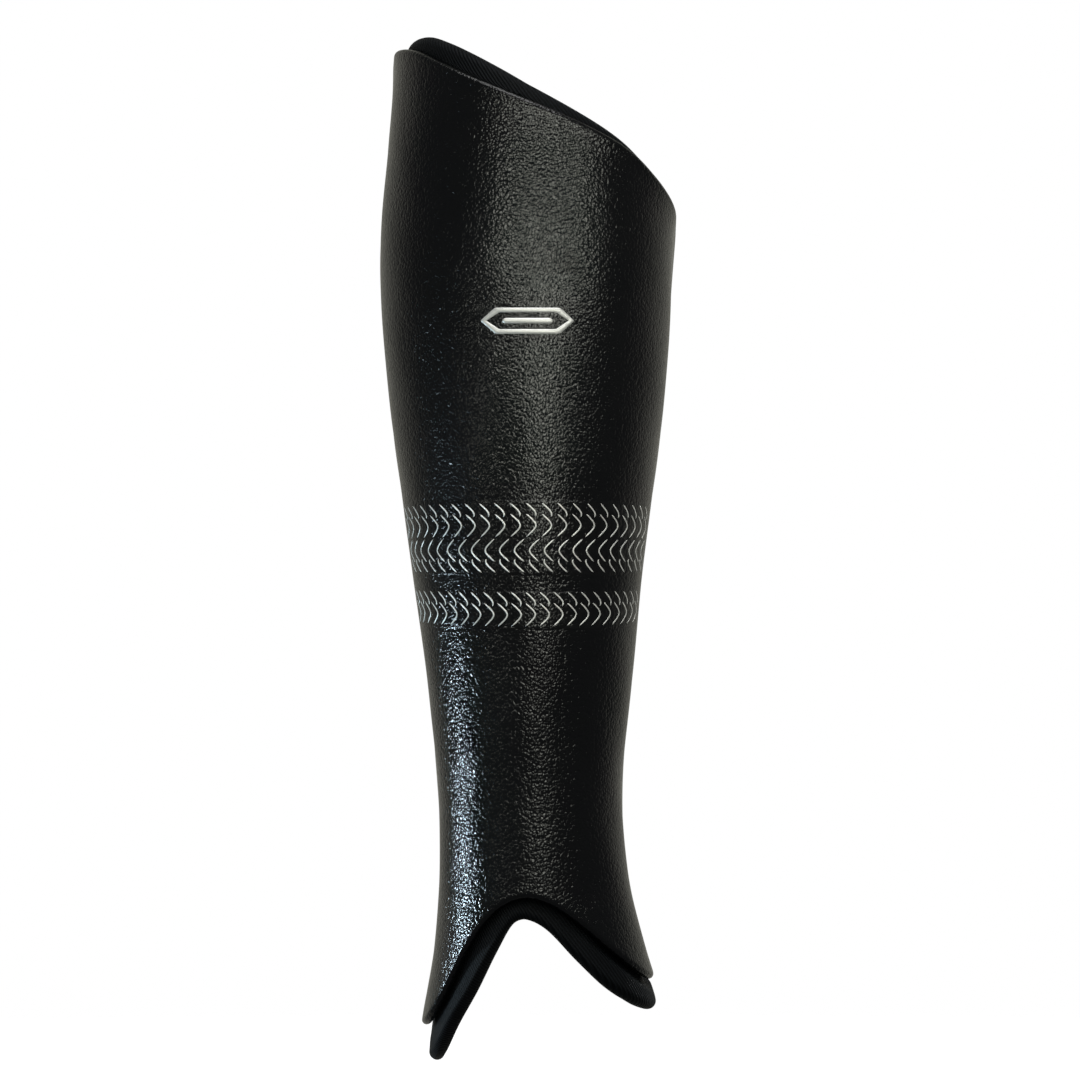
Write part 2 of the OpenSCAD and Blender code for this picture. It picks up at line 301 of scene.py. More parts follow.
def tube_cells(start, rings, sides, flip=False):
    """Faces of a closed-ended tube of rings of vertices, the first numbered start, turned over if flip."""
    k = np.arange(sides)
    faces = []
    for i in range(rings - 1):
        a = start + i * sides + k
        faces += wall_cells(a, a + sides, not flip)
    first, last = start + k, start + (rings - 1) * sides + k
    if flip:
        return faces + [first.tolist(), last[::-1].tolist()]
    return faces + [first[::-1].tolist(), last.tolist()]


def tubes(paths, radii, sides):
    """Vertices and faces of closed-ended tubes along paths, each an array of points in metres.
    radii is the radius at each point of a path, in metres."""
    verts, faces = [], []
    turns = np.linspace(0, 2 * np.pi, sides, endpoint=False)
    for path, radius in zip(paths, radii):
        along = np.gradient(path, axis=0)
        along /= np.linalg.norm(along, axis=1, keepdims=True)
        out = path * (1, 1, 0)
        u = np.cross(along, out)
        u /= np.linalg.norm(u, axis=1, keepdims=True)
        v = np.cross(along, u)
        start = sum(len(x) for x in verts)
        ring = path[:, None] + np.asarray(radius)[:, None, None] * (
            np.cos(turns)[None, :, None] * u[:, None] + np.sin(turns)[None, :, None] * v[:, None]
        )
        verts.append(ring.reshape(-1, 3))
        faces += tube_cells(start, len(path), sides)
    return np.concatenate(verts), faces


# ---------------------------------------------------------------------------
# Materials


class Nodes:
    """Short hand for a node tree."""

    def __init__(self, name):
        self.material = bpy.data.materials.new(name)
        self.material.use_nodes = True
        self.tree = self.material.node_tree
        self.tree.nodes.clear()

    def add(self, kind, inputs=(), **settings):
        node = self.tree.nodes.new("ShaderNode" + kind)
        for key, value in settings.items():
            setattr(node, key, value)
        for key, value in dict(inputs).items():
            socket = node.inputs[key]
            if isinstance(value, bpy.types.NodeSocket):
                self.tree.links.new(value, socket)
            else:
                socket.default_value = value
        return node

    def math(self, operation, *values):
        return self.add("Math", dict(enumerate(values)), operation=operation).outputs[0]

    def ramp(self, value, *stops):
        node = self.add("ValToRGB", {"Fac": value})
        elements = node.color_ramp.elements
        for k, (at, colour) in enumerate(stops):
            element = elements[k] if k < 2 else elements.new(at)
            element.position = at
            element.color = (*colour, 1)
        return node.outputs["Color"]

    def noise(self, vector, scale, detail, roughness=0.5):
        inputs = {"Vector": vector, "Scale": scale, "Detail": detail, "Roughness": roughness}
        return self.add("TexNoise", inputs).outputs[0]

    def bump(self, height, distance, strength=1.0, normal=None):
        inputs = {"Height": height, "Distance": distance, "Strength": strength}
        if normal is not None:
            inputs["Normal"] = normal
        return self.add("Bump", inputs).outputs[0]

    def finish(self, **inputs):
        """The surface shader. Keys are its sockets, with _ for a space."""
        shader = self.add("BsdfPrincipled", {key.replace("_", " "): value for key, value in inputs.items()})
        out = self.add("OutputMaterial")
        self.tree.links.new(shader.outputs[0], out.inputs["Surface"])
        return self.material


# Size of a pebble of the skin's grain, in metres
GRAIN = 0.0011


def leather_height(n, where):
    """Pressed leather grain: small rounded pebbles, with creases between them."""
    warp = n.add("TexNoise", {"Vector": where, "Scale": 0.7 / GRAIN, "Detail": 1.0}).outputs["Color"]
    bent = n.add("VectorMath", {0: warp, 1: (0.5, 0.5, 0.5)}, operation="SUBTRACT").outputs[0]
    bent = n.add("VectorMath", {0: bent, "Scale": 1.3 * GRAIN}, operation="SCALE").outputs[0]
    bent = n.add("VectorMath", {0: where, 1: bent}, operation="ADD").outputs[0]
    cells = {"Vector": bent, "Scale": 1 / GRAIN, "Randomness": 0.9}
    near = n.add("TexVoronoi", cells, feature="F1").outputs[0]
    domes = n.math("SUBTRACT", 1.0, n.math("MULTIPLY", near, near))
    fine = n.noise(where, 2.5 / GRAIN, 2.0, 0.6)
    return n.math("ADD", domes, n.math("MULTIPLY", fine, 0.05))


def skin_material():
    """Black coated skin, glossier in some patches than in others. Its colour has painted shade: darker in
    the grain's creases, lighter on the pebble tops.
    """
    n = Nodes("grained_skin")
    where = n.add("TexCoord").outputs["Object"]
    height = leather_height(n, where)
    slow = n.noise(where, 60, 3.0)
    patches = n.noise(where, 260, 2.0)
    roughness = n.add("MapRange", {"Value": patches, 1: 0.3, 2: 0.7, 3: 0.135, 4: 0.185}).outputs[0]
    # Base colour: a slow random tone, plus painted shade from the grain height that darkens the creases
    colour = n.ramp(
        n.math("ADD", n.math("MULTIPLY", slow, 0.5), n.math("MULTIPLY", height, 0.35)),
        (0.1, (0.0016, 0.0020, 0.0024)), (0.9, (0.0048, 0.0050, 0.0052)),
    )
    return n.finish(
        Base_Color=colour, Roughness=roughness, Specular_IOR_Level=0.5,
        Normal=n.bump(height, 0.00019, 1.0, n.bump(slow, 0.0006, 0.35)),
    )


def plate_material():
    """Dark moulded plastic with a fine matt texture."""
    n = Nodes("moulded_plate")
    where = n.add("TexCoord").outputs["Object"]
    height = n.noise(where, 1400, 2.0)
    colour = n.ramp(n.noise(where, 35, 3.0), (0.3, (0.034, 0.034, 0.036)), (0.7, (0.052, 0.052, 0.055)))
    roughness = n.add("MapRange", {"Value": n.noise(where, 120, 3.0), 3: 0.42, 4: 0.6}).outputs[0]
    return n.finish(Base_Color=colour, Roughness=roughness, Normal=n.bump(height, 0.00008, 0.6))


def film_material():
    """Clear film over the skin: the same grain and black, a little glossier."""
    n = Nodes("band_film")
    where = n.add("TexCoord").outputs["Object"]
    height = leather_height(n, where)
    patches = n.noise(where, 260, 2.0)
    roughness = n.add("MapRange", {"Value": patches, 1: 0.3, 2: 0.7, 3: 0.125, 4: 0.175}).outputs[0]
    slow = n.noise(where, 400, 3.0)
    colour = n.ramp(slow, (0.3, (0.0026, 0.0028, 0.0030)), (0.7, (0.0058, 0.0060, 0.0062)))
    return n.finish(Base_Color=colour, Roughness=roughness, Normal=n.bump(height, 0.00018))


def print_material(name, light, dark, wear):
    """Pale ink that follows the grain under it, thin where it is worn."""
    n = Nodes(name)
    where = n.add("TexCoord").outputs["Object"]
    height = leather_height(n, where)
    worn = n.math("ADD", n.noise(where, 900, 4.0, 0.7), n.math("MULTIPLY", n.noise(where, 90, 2.0), 0.4))
    colour = n.ramp(worn, (wear, dark), (wear + 0.12, light))
    return n.finish(Base_Color=colour, Metallic=0.45, Roughness=0.42, Normal=n.bump(height, 0.00006))


def twill_material():
    """Brushed liner fabric with a fine diagonal rib, laid by the mm map."""
    n = Nodes("liner_back")
    uv = n.add("UVMap", uv_map="mm").outputs[0]
    where = n.add("TexCoord").outputs["Object"]
    turned = n.add("Mapping", {"Vector": uv, "Rotation": (0, 0, math.radians(-38))}).outputs[0]
    waves = {"Vector": turned, "Scale": 0.27, "Distortion": 0.8, "Detail": 1.0, "Detail Scale": 1.2}
    rib = n.add("TexWave", waves).outputs[1]
    fuzz = n.noise(where, 3200, 3.0, 0.7)
    height = n.math("ADD", rib, n.math("MULTIPLY", fuzz, 0.5))
    colour = n.ramp(
        n.math("MULTIPLY", n.math("ADD", rib, fuzz), 0.5),
        (0.25, (0.0014, 0.0017, 0.0020)), (0.8, (0.0072, 0.0088, 0.0105)),
    )
    return n.finish(
        Base_Color=colour, Roughness=0.6, Specular_IOR_Level=0.12, Sheen_Weight=0.03,
        Sheen_Roughness=0.4, Sheen_Tint=(0.75, 0.85, 1, 1), Normal=n.bump(height, 0.00016),
    )


def lining_material():
    """Knitted lining: columns of small loops, laid by the mm map."""
    n = Nodes("liner_face")
    uv = n.add("UVMap", uv_map="mm").outputs[0]
    where = n.add("TexCoord").outputs["Object"]
    split = n.add("SeparateXYZ", {0: uv})
    across = n.math("MULTIPLY", split.outputs[0], 2 * math.pi / 1.1)
    lean = n.math("MULTIPLY", n.math("ABSOLUTE", n.math("SINE", n.math("MULTIPLY", across, 0.5))), 2.4)
    along = n.math("ADD", n.math("MULTIPLY", split.outputs[1], 2 * math.pi / 0.9), lean)
    loops = n.math("MULTIPLY", n.math("ADD", n.math("SINE", along), 1.0), 0.5)
    columns = n.math("ABSOLUTE", n.math("SINE", n.math("MULTIPLY", across, 0.5)))
    dips = n.math("ADD", n.math("MULTIPLY", loops, 0.6), 0.4)
    knit = n.math("MULTIPLY", n.math("POWER", columns, 0.6), dips)
    fuzz = n.noise(where, 3600, 3.0, 0.7)
    height = n.math("ADD", knit, n.math("MULTIPLY", fuzz, 0.4))
    slow = n.noise(where, 25, 3.0)
    colour = n.ramp(
        n.math("ADD", n.math("MULTIPLY", knit, 0.7), n.math("MULTIPLY", slow, 0.3)),
        (0.15, (0.014, 0.014, 0.016)), (0.85, (0.062, 0.064, 0.070)),
    )
    return n.finish(
        Base_Color=colour, Roughness=0.88, Specular_IOR_Level=0.3, Sheen_Weight=0.15,
        Sheen_Roughness=0.5, Normal=n.bump(height, 0.0002, 0.8),
    )


def foam_material():
    """Dark foam with open pores."""
    n = Nodes("foam")
    where = n.add("TexCoord").outputs["Object"]
    pores = n.add("TexVoronoi", {"Vector": where, "Scale": 1500.0}).outputs[0]
    colour = n.ramp(pores, (0.1, (0.05, 0.05, 0.055)), (0.6, (0.09, 0.09, 0.1)))
    return n.finish(Base_Color=colour, Roughness=0.9, Normal=n.bump(pores, 0.0001, 0.6))


def hook_material():
    """Black woven hook tape."""
    n = Nodes("hook_tape")
    where = n.add("TexCoord").outputs["Object"]
    weave = n.noise(where, 2600, 3.0, 0.6)
    colour = n.ramp(weave, (0.3, (0.008, 0.008, 0.009)), (0.7, (0.026, 0.026, 0.028)))
    return n.finish(Base_Color=colour, Roughness=0.5, Normal=n.bump(weave, 0.0001, 0.7))


def thread_material():
    """Twisted thread: fine slanting plies."""
    n = Nodes("thread")
    where = n.add("TexCoord").outputs["Object"]
    waves = {"Vector": where, "Scale": 900.0, "Distortion": 1.0}
    plies = n.add("TexWave", waves, bands_direction="DIAGONAL").outputs[1]
    colour = n.ramp(plies, (0.2, (0.05, 0.05, 0.052)), (0.8, (0.14, 0.14, 0.145)))
    return n.finish(Base_Color=colour, Roughness=0.6, Normal=n.bump(plies, 0.00005, 0.6))


# ---------------------------------------------------------------------------
# The shell


def build_skin(material):
    """The skin over the outside, turned round the plate's edge and glued down inside it."""
    cols, rows = 170, 270
    total = PLATE[1] + GLUE + SKIN
    r = total / 2
    hem = -7.0
    section = [(-r, 0.0)] + arc(-r, r, r, 12, 168, 12) + [(-r, total), (hem / 2, total), (hem, total)]
    section += [(hem - 0.35, total - SKIN / 2), (hem, total - SKIN), (hem / 2, total - SKIN)]
    section += arc(-r, r, r - SKIN, 180, 10, 7) + [(-r, SKIN)]
    piece = folded_sheet(
        "grained_skin", "shell", material,
        outline_grid(SHELL, cols, rows), section, cols, rows,
    )
    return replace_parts(piece, "outer_skin")


def build_plate(material):
    """The plate, with a rounded edge that stays inside the turned skin."""
    cols, rows = 120, 190
    r = (PLATE[1] - PLATE[0]) / 2
    out = -SKIN - GLUE - r
    section = [(out, PLATE[0])] + arc(out, PLATE[0] + r, r, 20, 160, 6) + [(out, PLATE[1])]
    piece = folded_sheet(
        "moulded_plate", "shell", material,
        outline_grid(SHELL, cols, rows), section, cols, rows,
    )
    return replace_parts(piece, "hard_plate")


def local_place(w0, z0, u, v, depth):
    """Points given in millimetres across and up from a place on the guard."""
    quarter = math.pi / 2 * float(curve(SECTIONS, z0, RIGHT if w0 >= 0 else LEFT))
    return place(w0 + np.asarray(u) * 90 / quarter, z0 + np.asarray(v), depth)


def sheet_patch(w0, z0, us, half_height, rows, top, bottom):
    """Closed thin sheet of columns us, each from -half_height(u) to half_height(u)."""
    half = half_height(us)[:, None]
    v = np.linspace(-1, 1, rows + 1)[None] * half
    u = np.repeat(us[:, None], rows + 1, 1)
    cols = len(us) - 1
    outer, inner = local_place(w0, z0, u, v, top), local_place(w0, z0, u, v, bottom)
    verts = np.concatenate([outer.reshape(-1, 3), inner.reshape(-1, 3)])
    n = (cols + 1) * (rows + 1)
    rim = rim_index(cols, rows)
    faces = grid_cells(cols, rows, 0, False) + grid_cells(cols, rows, n, True)
    return verts, faces + wall_cells(rim, n + rim)


def join(*parts):
    """One mesh of several, each (vertices, faces)."""
    verts, faces, start = [], [], 0
    for v, f in parts:
        verts.append(v)
        faces += [[i + start for i in face] for face in f]
        start += len(v)
    return np.concatenate(verts), faces


def build_hook_patch(name, w0, z0, material):
    """Woven base with rounded corners, and rows of small bent hooks."""
    half_w, half_h, corner, base_thick = 9.6, 21.6, 2.5, 0.4
    us = half_w * np.sin(np.linspace(-np.pi / 2, np.pi / 2, 22))

    def half_height(u):
        c = np.clip((np.abs(u) - half_w) / corner + 1, 0, 1)
        return half_h - corner * (1 - np.sqrt(1 - c * c))

    base = sheet_patch(w0, z0, us, half_height, 24, HOOK_BASE, HOOK_BASE + base_thick)
    paths, radii = [], []
    rise = np.array([-0.1, 0.45, 0.7, 0.72, 0.5])
    reach = np.array([0, 0, 0.15, 0.42, 0.55])
    for i, u in enumerate(np.arange(-half_w + 1.2, half_w - 0.8, 1.7)):
        way = -1 if i % 2 else 1
        for v in np.arange(-half_h + 1.5 + 0.7 * (i % 2), half_h - 1, 1.5):
            depth = HOOK_BASE + base_thick + rise
            paths.append(local_place(w0, z0, np.full(len(rise), u), v + reach * way, depth))
            radii.append(np.full(len(rise), 0.13 * MM))
    verts, faces = join(base, tubes(paths, radii, 4))
    piece = make_piece(name + "_tape", "shell", verts, faces, material)
    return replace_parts(piece, name)


# Rows of the tread bands: height of the bend, half height, wrap angle of the first line's open end,
# wrap angle from line to line, side the bend points to, part of the chevron that is drawn
HALF = 4.1
UPPER_ROWS = (
    (11.9, HALF, -0.8, 7.36, 1, (-1, 0.2)),
    (8.0, HALF, -0.8, 7.36, 1, (-1, 1)),
    (-1.05, HALF, 5.5, 7.25, -1, (-1, 1)),
    (-4.9, HALF, 5.5, 7.25, -1, (-0.18, 1)),
)
LOWER_ROWS = (
    (-20.2, HALF, -1.2, 7.3, 1, (-1, 0.25)),
    (-24.2, HALF, -1.2, 7.3, 1, (-1, 1)),
)
# How far a chevron bends, thickness of the film, half width of a printed line, in millimetres
CHEVRON_DEPTH = 3.5
FILM = 0.06
STROKE = 0.29
# Height that the bands narrow towards, and by what share they do so at the wrap angle PINCH_AT
BAND_MIDDLE = -6.3
BAND_PINCH = 0.045
PINCH_AT = 66


def pinched(w, z):
    """The bands narrow a little towards the sides, where the skin was pulled round."""
    return BAND_MIDDLE + (z - BAND_MIDDLE) * (1 - BAND_PINCH * (w / PINCH_AT) ** 2)


def chevron_paths(rows):
    """Centre lines of the chevrons, as wrap angles and heights."""
    found = []
    for bend, half, first, pitch, side, (start, end) in rows:
        t = np.linspace(start, end, 15 if end - start > 1.5 else 10)
        soft = 0.42
        open_share = (np.sqrt(soft**2 + t * t) - soft) / (math.sqrt(soft**2 + 1) - soft)
        z = bend - t * half
        degrees = np.degrees(CHEVRON_DEPTH / curve(SECTIONS, bend, RIGHT))
        count = int(BAND_END / pitch)
        for k in range(-count - 1, count + 1):
            w = first + k * pitch + side * degrees * (1 - open_share)
            if np.abs(w).max() < BAND_END:
                found.append((w, z))
    return found


def build_band(name, rows, top, height, film, ink):
    """A band of film with a slightly uneven edge, and the chevrons printed on it."""
    cols, lines = 150, 24
    w = np.linspace(-BAND_END, BAND_END, cols + 1)
    wobble = 0.12 * np.sin(w / 3.1) + 0.08 * np.sin(w / 1.7 + 1)
    high = np.full_like(w, top) + wobble
    low = high - height - 2 * wobble

    def grid_at(m):
        lo, hi = low - m, high + m
        z = lo[:, None] + (hi - lo)[:, None] * np.linspace(0, 1, lines + 1)
        ww = np.repeat(w[:, None], lines + 1, 1) * (1 + m / 60)
        return ww, pinched(ww, z)

    section = [(-0.1, -FILM), (0, -FILM * 0.6), (0, 0.02), (-0.1, 0.02)]
    sheet = folded_sheet(name + "_film", "shell", film, grid_at, section, cols, lines)
    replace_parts(sheet, name)
    paths, radii = [], []
    for w, z in chevron_paths(rows):
        p = place(w, pinched(w, z), -FILM)
        paths.append(p)
        share = np.linspace(-1, 1, len(p))
        radii.append(STROKE * MM * np.sqrt(np.clip(1.02 - share**8, 0, 1)))
    verts, faces = flat_strokes(paths, radii)
    make_piece(name + "_chevrons", "shell", verts, faces, ink)


def flat_strokes(paths, radii):
    """Printed lines: flattened tubes, 0.07 mm thick, lying on the film."""
    verts, faces = [], []
    start = 0
    shape = ((-1, -0.02), (-0.75, 0.05), (0, 0.07), (0.75, 0.05), (1, -0.02), (0, -0.05))
    for path, radius in zip(paths, radii):
        along = np.gradient(path, axis=0)
        along /= np.linalg.norm(along, axis=1, keepdims=True)
        out = path * (1, 1, 0)
        out /= np.linalg.norm(out, axis=1, keepdims=True)
        out -= (out * along).sum(1, keepdims=True) * along
        out /= np.linalg.norm(out, axis=1, keepdims=True)
        across = np.cross(along, out)
        ring = np.stack(
            [path + across * (a * radius)[:, None] + out * (b * MM) for a, b in shape], 1
        )
        verts.append(ring.reshape(-1, 3))
        faces += tube_cells(start, len(path), len(shape), flip=True)
        start += len(path) * len(shape)
    return np.concatenate(verts), faces


# Height of the emblem's middle, half its width and height, width of its line, depths of the print
EMBLEM_AT = 81.5
EMBLEM_HALF = (17.0, 4.7)
EMBLEM_LINE = 1.7
PRINT = (-0.1, 0.02)


def build_emblem(material):
    """A long hexagon drawn as a thick line, with a bar in its middle."""
    half_w, half_h = EMBLEM_HALF
    slope = half_h * 1.15

    def hexagon(inset):
        w, h = half_w - inset * 1.3, half_h - inset
        s = slope - inset * 0.45
        return np.array([(-w, 0), (-w + s, h), (w - s, h), (w, 0), (w - s, -h), (-w + s, -h)])

    def ring(inset, depth):
        corners = hexagon(inset)
        points = []
        for a, b in zip(corners, np.roll(corners, -1, 0)):
            points.append(a + (b - a) * np.linspace(0.03, 0.97, 14)[:, None])
        p = np.concatenate(points)
        return local_place(0, EMBLEM_AT, p[:, 0], p[:, 1], depth)

    bevel = 0.05
    rails = [ring(0, PRINT[1]), ring(bevel, PRINT[0])]
    rails += [ring(EMBLEM_LINE - bevel, PRINT[0]), ring(EMBLEM_LINE, PRINT[1])]
    n = len(rails[0])
    k = np.arange(n)
    faces = []
    for i in range(len(rails)):
        faces += wall_cells(i * n + k, (i + 1) % len(rails) * n + k, flip=True)

    def bar_half_height(u):
        return np.minimum(1, (9.4 - np.abs(u)) / 1.2)

    bar = sheet_patch(0, EMBLEM_AT, np.linspace(-9, 9, 30), bar_half_height, 2, *PRINT)
    verts, faces = join((np.concatenate(rails), faces), bar)
    piece = make_piece("emblem", "shell", verts, faces, material)
    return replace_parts(piece, "emblem_print")


# ---------------------------------------------------------------------------
# The liner

# Edge of the turned hem and the seam through it, inside the liner's outline, in millimetres
HEM_IN = -8.0
SEAM = -5.8
# Half width of a sewn channel
CHANNEL_HALF = 1.5
# Most that the lining rises, and the free swelling that brings it to about two thirds of that
CROWN = 3.2
HELD_BACK = 5.0


def flare(w, z):
    """How far the liner springs outwards where it is clear of the shell's lower edge."""
    below = np.clip((curve(SHELL_BOTTOM, w) - z) / 5, 0, 1)
    most = np.where(w > 0, 2.5, 0.8) * np.clip((np.abs(w) - 25) / 30, 0, 1)
    return most * below * below * (3 - 2 * below)


def liner_place(w, z, depth):
    """Points of a layer of the liner, in metres."""
    return place(w, z, depth - flare(w, z))


def liner_grid_columns(m, pad, channel):
    """Columns over the liner's face, with fixed columns on both sides of each channel."""
    end = LINER.end + m * UNITS_PER_MM
    half = CHANNEL_HALF * UNITS_PER_MM
    inner, outer = CHANNEL_AT - half, CHANNEL_AT + half
    side = outer + (end - outer) * np.sin(np.linspace(0, np.pi / 2, pad + 1))
    right = np.concatenate([np.linspace(inner, outer, channel + 1)[:-1], side])
    return np.concatenate([-right[::-1], np.linspace(-inner, inner, 2 * pad + 1)[1:-1], right])


def liner_grid(m, pad, channel, rows):
    """Wrap angles and heights of a grid over the liner's face."""
    w = liner_grid_columns(m, pad, channel)
    low, high = LINER.low(w, m), LINER.high(w, m)
    share = np.linspace(0, 1, rows + 1)
    return np.repeat(w[:, None], rows + 1, 1), low[:, None] + (high - low)[:, None] * share


def swell_by_cloth(m, pad, channel, rows):
    """Rise of the lining between its seams, in millimetres, on a liner_grid. A cloth with air pressure
    under it is held along the edge and the channels. The foam is firm, so it rises to CROWN at most."""
    w, z = liner_grid(m, pad, channel, rows)
    cols = w.shape[0] - 1
    face, back = place(w, z, FACE), place(w, z, FOAM[0])
    n = face.shape[0] * face.shape[1]
    rim = rim_index(cols, rows)
    faces = grid_cells(cols, rows, 0, True) + grid_cells(cols, rows, n, False)
    faces += wall_cells(rim, n + rim, flip=True)
    mesh = bpy.data.meshes.new("swelling")
    mesh.from_pydata(np.concatenate([face.reshape(-1, 3), back.reshape(-1, 3)]).tolist(), [], faces)
    cloth = bpy.data.objects.new("swelling", mesh)
    bpy.context.scene.collection.objects.link(cloth)
    held = np.zeros((cols + 1, rows + 1), bool)
    held[[0, -1], :] = held[:, [0, -1]] = True
    held |= np.abs(np.abs(w) - CHANNEL_AT) < CHANNEL_HALF * UNITS_PER_MM * 1.01
    group = cloth.vertex_groups.new(name="held")
    group.add(np.flatnonzero(held.ravel()).tolist() + list(range(n, 2 * n)), 1.0, "REPLACE")
    modifier = cloth.modifiers.new("cloth", "CLOTH")
    s = modifier.settings
    s.vertex_group_mass = "held"
    s.quality = 5
    s.mass = 0.15
    s.tension_stiffness = s.compression_stiffness = 6
    s.shear_stiffness = 4
    s.bending_stiffness = 0.3
    s.use_pressure = True
    s.uniform_pressure_force = 4
    s.effector_weights.gravity = 0
    modifier.collision_settings.use_collision = False
    scene = bpy.context.scene
    for step in range(1, 21):
        scene.frame_set(step)
    evaluated = cloth.evaluated_get(bpy.context.evaluated_depsgraph_get())
    moved = np.zeros(2 * n * 3)
    evaluated.data.vertices.foreach_get("co", moved)
    moved = moved.reshape(-1, 3)[:n].reshape(face.shape)
    inward = place(w, z, FACE + 1) - face
    inward /= np.linalg.norm(inward, axis=-1, keepdims=True)
    rise = ((moved - face) * inward).sum(-1) / MM
    scene.frame_set(1)
    bpy.data.objects.remove(cloth)
    bpy.data.meshes.remove(mesh)
    return CROWN * (1 - np.exp(-np.maximum(rise, 0) / HELD_BACK))


def smooth(field, times):
    """Averages a grid of numbers with its neighbours, and leaves its edge alone."""
    field = field.copy()
    for _ in range(times):
        inside = field[1:-1, 1:-1]
        field[1:-1, 1:-1] = 0.5 * inside + 0.125 * (
            field[:-2, 1:-1] + field[2:, 1:-1] + field[1:-1, :-2] + field[1:-1, 2:]
        )
    return field


def finer(field, cols, rows):
    """A grid of numbers read off at more columns and rows."""
    old_c, old_r = (np.linspace(0, 1, n) for n in field.shape)
    new_c, new_r = np.linspace(0, 1, cols + 1), np.linspace(0, 1, rows + 1)
    tall = np.array([np.interp(new_r, old_r, line) for line in field])
    return np.array([np.interp(new_c, old_c, line) for line in tall.T]).T


def puckers(w, z):
    """Small folds that the stitches pull into the lining, beside the channels and the edge seam."""
    reach = 2.6
    from_channel = np.abs(np.abs(w) - CHANNEL_AT) / UNITS_PER_MM
    near = np.exp(-((from_channel - reach) / reach) ** 2)
    fold = np.sin(2 * np.pi * z / 4.3 + 1.3 * np.sin(z / 11)) * (0.6 + 0.4 * np.sin(z / 7.7))
    edge_gap = np.minimum(z - z[:, :1], z[:, -1:] - z)
    seam = np.exp(-((edge_gap - 4.5) / 3.0) ** 2) * np.sin(arc_mm(w, z) * 1.35 + np.sin(w / 9))
    wall_gap = (LINER.end - np.abs(w)) / UNITS_PER_MM
    wall = np.exp(-((wall_gap - 10.5) / 3.0) ** 2) * np.sin(z * 1.3 + np.sin(z / 13))
    return 0.16 * near * fold + 0.13 * seam + 0.13 * wall


def build_liner(fabric, lining, foam):
    """The back fabric turned over as a hem, the swollen lining and the three pads under it."""
    cols, rows = 170, 280
    r = (HEM - LINER_BACK) / 2
    centre = LINER_BACK + r
    section = [(-r, LINER_BACK)] + arc(-r, centre, r, 10, 170, 15)
    section += [(-r, HEM), (-5.0, HEM + 0.05), (HEM_IN, HEM)]
    section += [(HEM_IN - 0.3, HEM - FABRIC / 2), (HEM_IN, HEM - FABRIC), (-5.0, HEM - FABRIC)]
    section += arc(-r, centre, r - FABRIC, 180, 10, 8) + [(-r, LINER_BACK + FABRIC)]
    back = folded_sheet(
        "liner_back", "liner", fabric,
        outline_grid(LINER, cols, rows), section, cols, rows, at=liner_place,
    )
    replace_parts(back, "liner_back_fabric")

    m, pad, channel, sim_rows = -5.2, 14, 2, 96
    make_rise = swell_by_cloth
    rise = smooth(make_rise(m, pad, channel, sim_rows), 2)
    more = 4
    w, z = liner_grid(m, pad * more, channel * more, sim_rows * more)
    rise = finer(rise, w.shape[0] - 1, w.shape[1] - 1)
    rise = smooth(rise, 6) + puckers(w, z) * np.clip(rise / 0.8, 0, 1)
    cols, rows = w.shape[0] - 1, w.shape[1] - 1

    def face_grid(grown):
        return liner_grid(m + grown, pad * more, channel * more, sim_rows * more)

    section = [(0.0, FACE - FABRIC), (0.1, FACE - FABRIC / 2), (0.0, FACE)]
    face = folded_sheet(
        "liner_face", "liner", lining,
        face_grid, section, cols, rows, rise, liner_place,
    )
    flip(face)
    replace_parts(face, "liner_face_fabric")
    build_foam("foam_pad_centre", -1, 1, rise, w, z, foam)
    build_foam("foam_pad_left", -2, -1, rise, w, z, foam)
    build_foam("foam_pad_right", 1, 2, rise, w, z, foam)


def flip(piece):
    """Turns a closed sheet's faces round if they point inwards."""
    mesh = piece.data
    co = np.zeros(len(mesh.vertices) * 3)
    mesh.vertices.foreach_get("co", co)
    co = co.reshape(-1, 3)
    volume = 0.0
    for p in mesh.polygons:
        ids = list(p.vertices)
        a = co[ids[0]]
        for b, c in zip(ids[1:-1], ids[2:]):
            volume += np.dot(a, np.cross(co[b], co[c]))
    if volume < 0:
        mesh.flip_normals()


def build_foam(name, start, end, rise, w, z, material):
    """One pad of foam between two seams: -2 and 2 are the liner's edges, -1 and 1 its channels."""
    edges = {-2: -LINER.end, -1: -CHANNEL_AT, 1: CHANNEL_AT, 2: LINER.end}
    gap = (CHANNEL_HALF + 0.2) * UNITS_PER_MM
    inside = np.flatnonzero((w[:, 0] > edges[start] + gap) & (w[:, 0] < edges[end] - gap))[::3]
    lines = slice(None, None, 6)
    ww, zz, lift = w[inside][:, lines], z[inside][:, lines], rise[inside][:, lines]
    inset = 0.8
    zz = zz + inset * np.linspace(1, -1, zz.shape[1])
    cols, rows = ww.shape[0] - 1, ww.shape[1] - 1
    top = liner_place(ww, zz, FOAM[1] + lift * 0.95)
    bottom = liner_place(ww, zz, FOAM[0])
    n = (cols + 1) * (rows + 1)
    rim = rim_index(cols, rows)
    middle = liner_place(ww, zz, (FOAM[0] + FOAM[1] + lift) / 2)[rim_of(cols, rows)]
    loop = 2 * n + np.arange(len(rim))
    faces = grid_cells(cols, rows, 0, True) + grid_cells(cols, rows, n, False)
    faces += wall_cells(rim, loop, flip=True) + wall_cells(loop, n + rim, flip=True)
    verts = np.concatenate([top.reshape(-1, 3), bottom.reshape(-1, 3), middle])
    piece = make_piece(name + "_foam", "liner", verts, faces, material)
    flip(piece)
    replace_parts(piece, name)
    return piece


